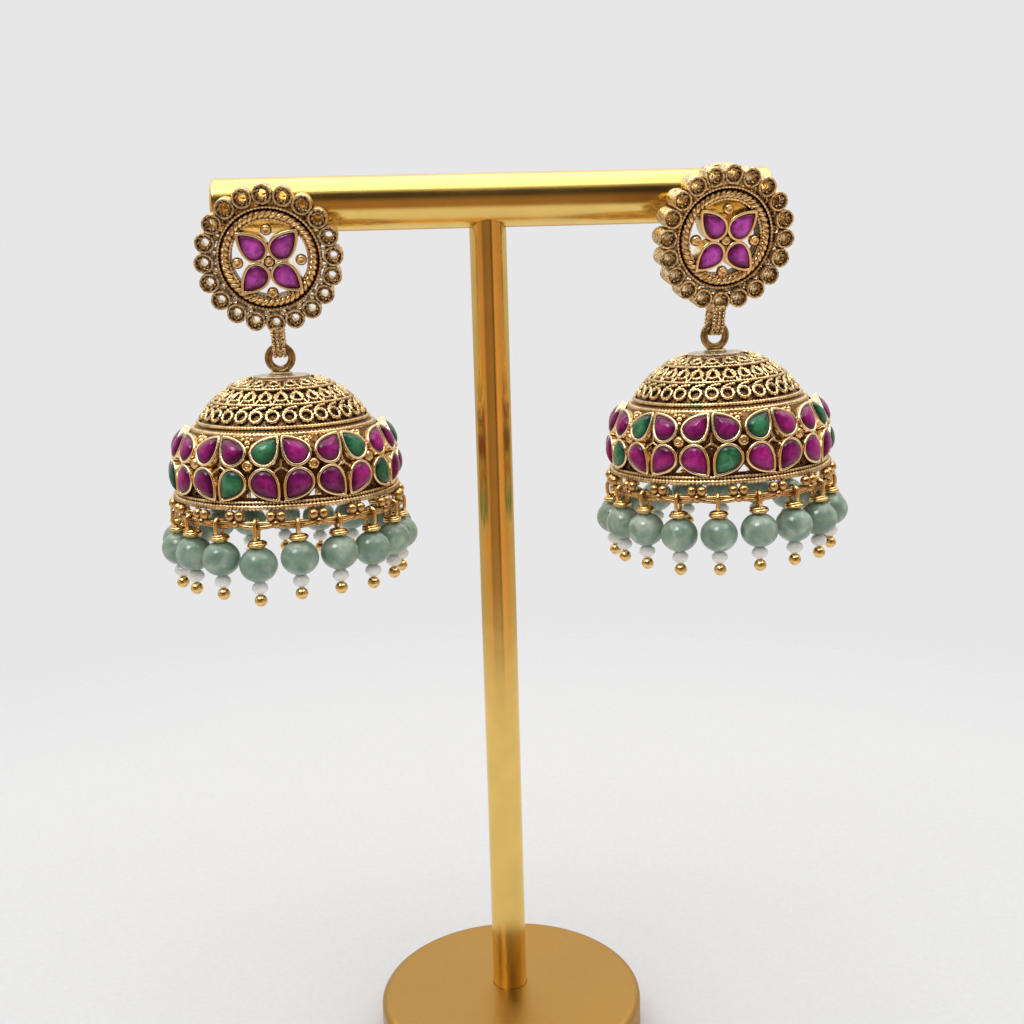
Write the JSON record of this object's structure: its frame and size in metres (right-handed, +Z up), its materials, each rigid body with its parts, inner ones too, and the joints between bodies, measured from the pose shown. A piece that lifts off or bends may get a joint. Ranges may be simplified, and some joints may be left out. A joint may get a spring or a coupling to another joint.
{
  "type": "pair of jhumka earrings on a display stand",
  "caption": "Bell-shaped jhumka drop earrings with round flower studs, stone-set domes and bead fringes, hanging from the bar of a plain T-shaped display stand.",
  "frame": {"origin": "centre of the base's underside, where the stand rests", "axes": "+Z up along the post, +X along the bar to the right earring, the studs' faces and the front towards -Y"},
  "size_m": [0.1052, 0.043, 0.1412],
  "materials": {
    "stand_gold": "polished gold-coloured metal, brushed on the base",
    "antique_gold": "antique gold plate, dark brown in the recesses, bright on the edges",
    "drop_gold": "polished gold plate",
    "ruby_glass": "glossy magenta-red cabochons",
    "emerald_glass": "glossy green cabochons",
    "jade": "polished mottled grey-green stone",
    "pearl": "lustrous white seed pearl",
    "post_gold": "polished gold-coloured metal"
  },
  "bodies": {
    "stand": {"stand_base": "stand_gold", "stand_post": "stand_gold", "stand_bar": "stand_gold", "left_stud": "antique_gold", "left_stud_rubies": "ruby_glass", "left_ear_post": "post_gold", "left_ear_nut": "post_gold", "right_stud": "antique_gold", "right_stud_rubies": "ruby_glass", "right_ear_post": "post_gold", "right_ear_nut": "post_gold"},
    "left_bell": {"left_bell": "antique_gold", "left_gallery": "antique_gold", "left_band_rubies": "ruby_glass", "left_band_emeralds": "emerald_glass", "left_drop_pins": "drop_gold", "left_seed_pearls": "pearl", "left_jade_bead_01": "jade", "left_jade_bead_02": "jade", "left_jade_bead_03": "jade", "left_jade_bead_04": "jade", "left_jade_bead_05": "jade", "left_jade_bead_06": "jade", "left_jade_bead_07": "jade", "left_jade_bead_08": "jade", "left_jade_bead_09": "jade", "left_jade_bead_10": "jade", "left_jade_bead_11": "jade", "left_jade_bead_12": "jade", "left_jade_bead_13": "jade", "left_jade_bead_14": "jade", "left_jade_bead_15": "jade", "left_jade_bead_16": "jade", "left_jade_bead_17": "jade", "left_jade_bead_18": "jade"},
    "right_bell": {"right_bell": "antique_gold", "right_gallery": "antique_gold", "right_band_rubies": "ruby_glass", "right_band_emeralds": "emerald_glass", "right_drop_pins": "drop_gold", "right_seed_pearls": "pearl", "right_jade_bead_01": "jade", "right_jade_bead_02": "jade", "right_jade_bead_03": "jade", "right_jade_bead_04": "jade", "right_jade_bead_05": "jade", "right_jade_bead_06": "jade", "right_jade_bead_07": "jade", "right_jade_bead_08": "jade", "right_jade_bead_09": "jade", "right_jade_bead_10": "jade", "right_jade_bead_11": "jade", "right_jade_bead_12": "jade", "right_jade_bead_13": "jade", "right_jade_bead_14": "jade", "right_jade_bead_15": "jade", "right_jade_bead_16": "jade", "right_jade_bead_17": "jade", "right_jade_bead_18": "jade"}
  },
  "joints": [
    {"name": "left_bell_swing", "type": "hinge", "parent": "stand", "child": "left_bell", "pos_m": [-0.03169, -0.00017, 0.11568], "axis": [0.9998, 0.0174, 0], "range_deg": [-60, 60]},
    {"name": "right_bell_swing", "type": "hinge", "parent": "stand", "child": "right_bell", "pos_m": [0.0338, -0.0012, 0.11699], "axis": [0.9877, 0.1564, 0], "range_deg": [-60, 60]}
  ]
}
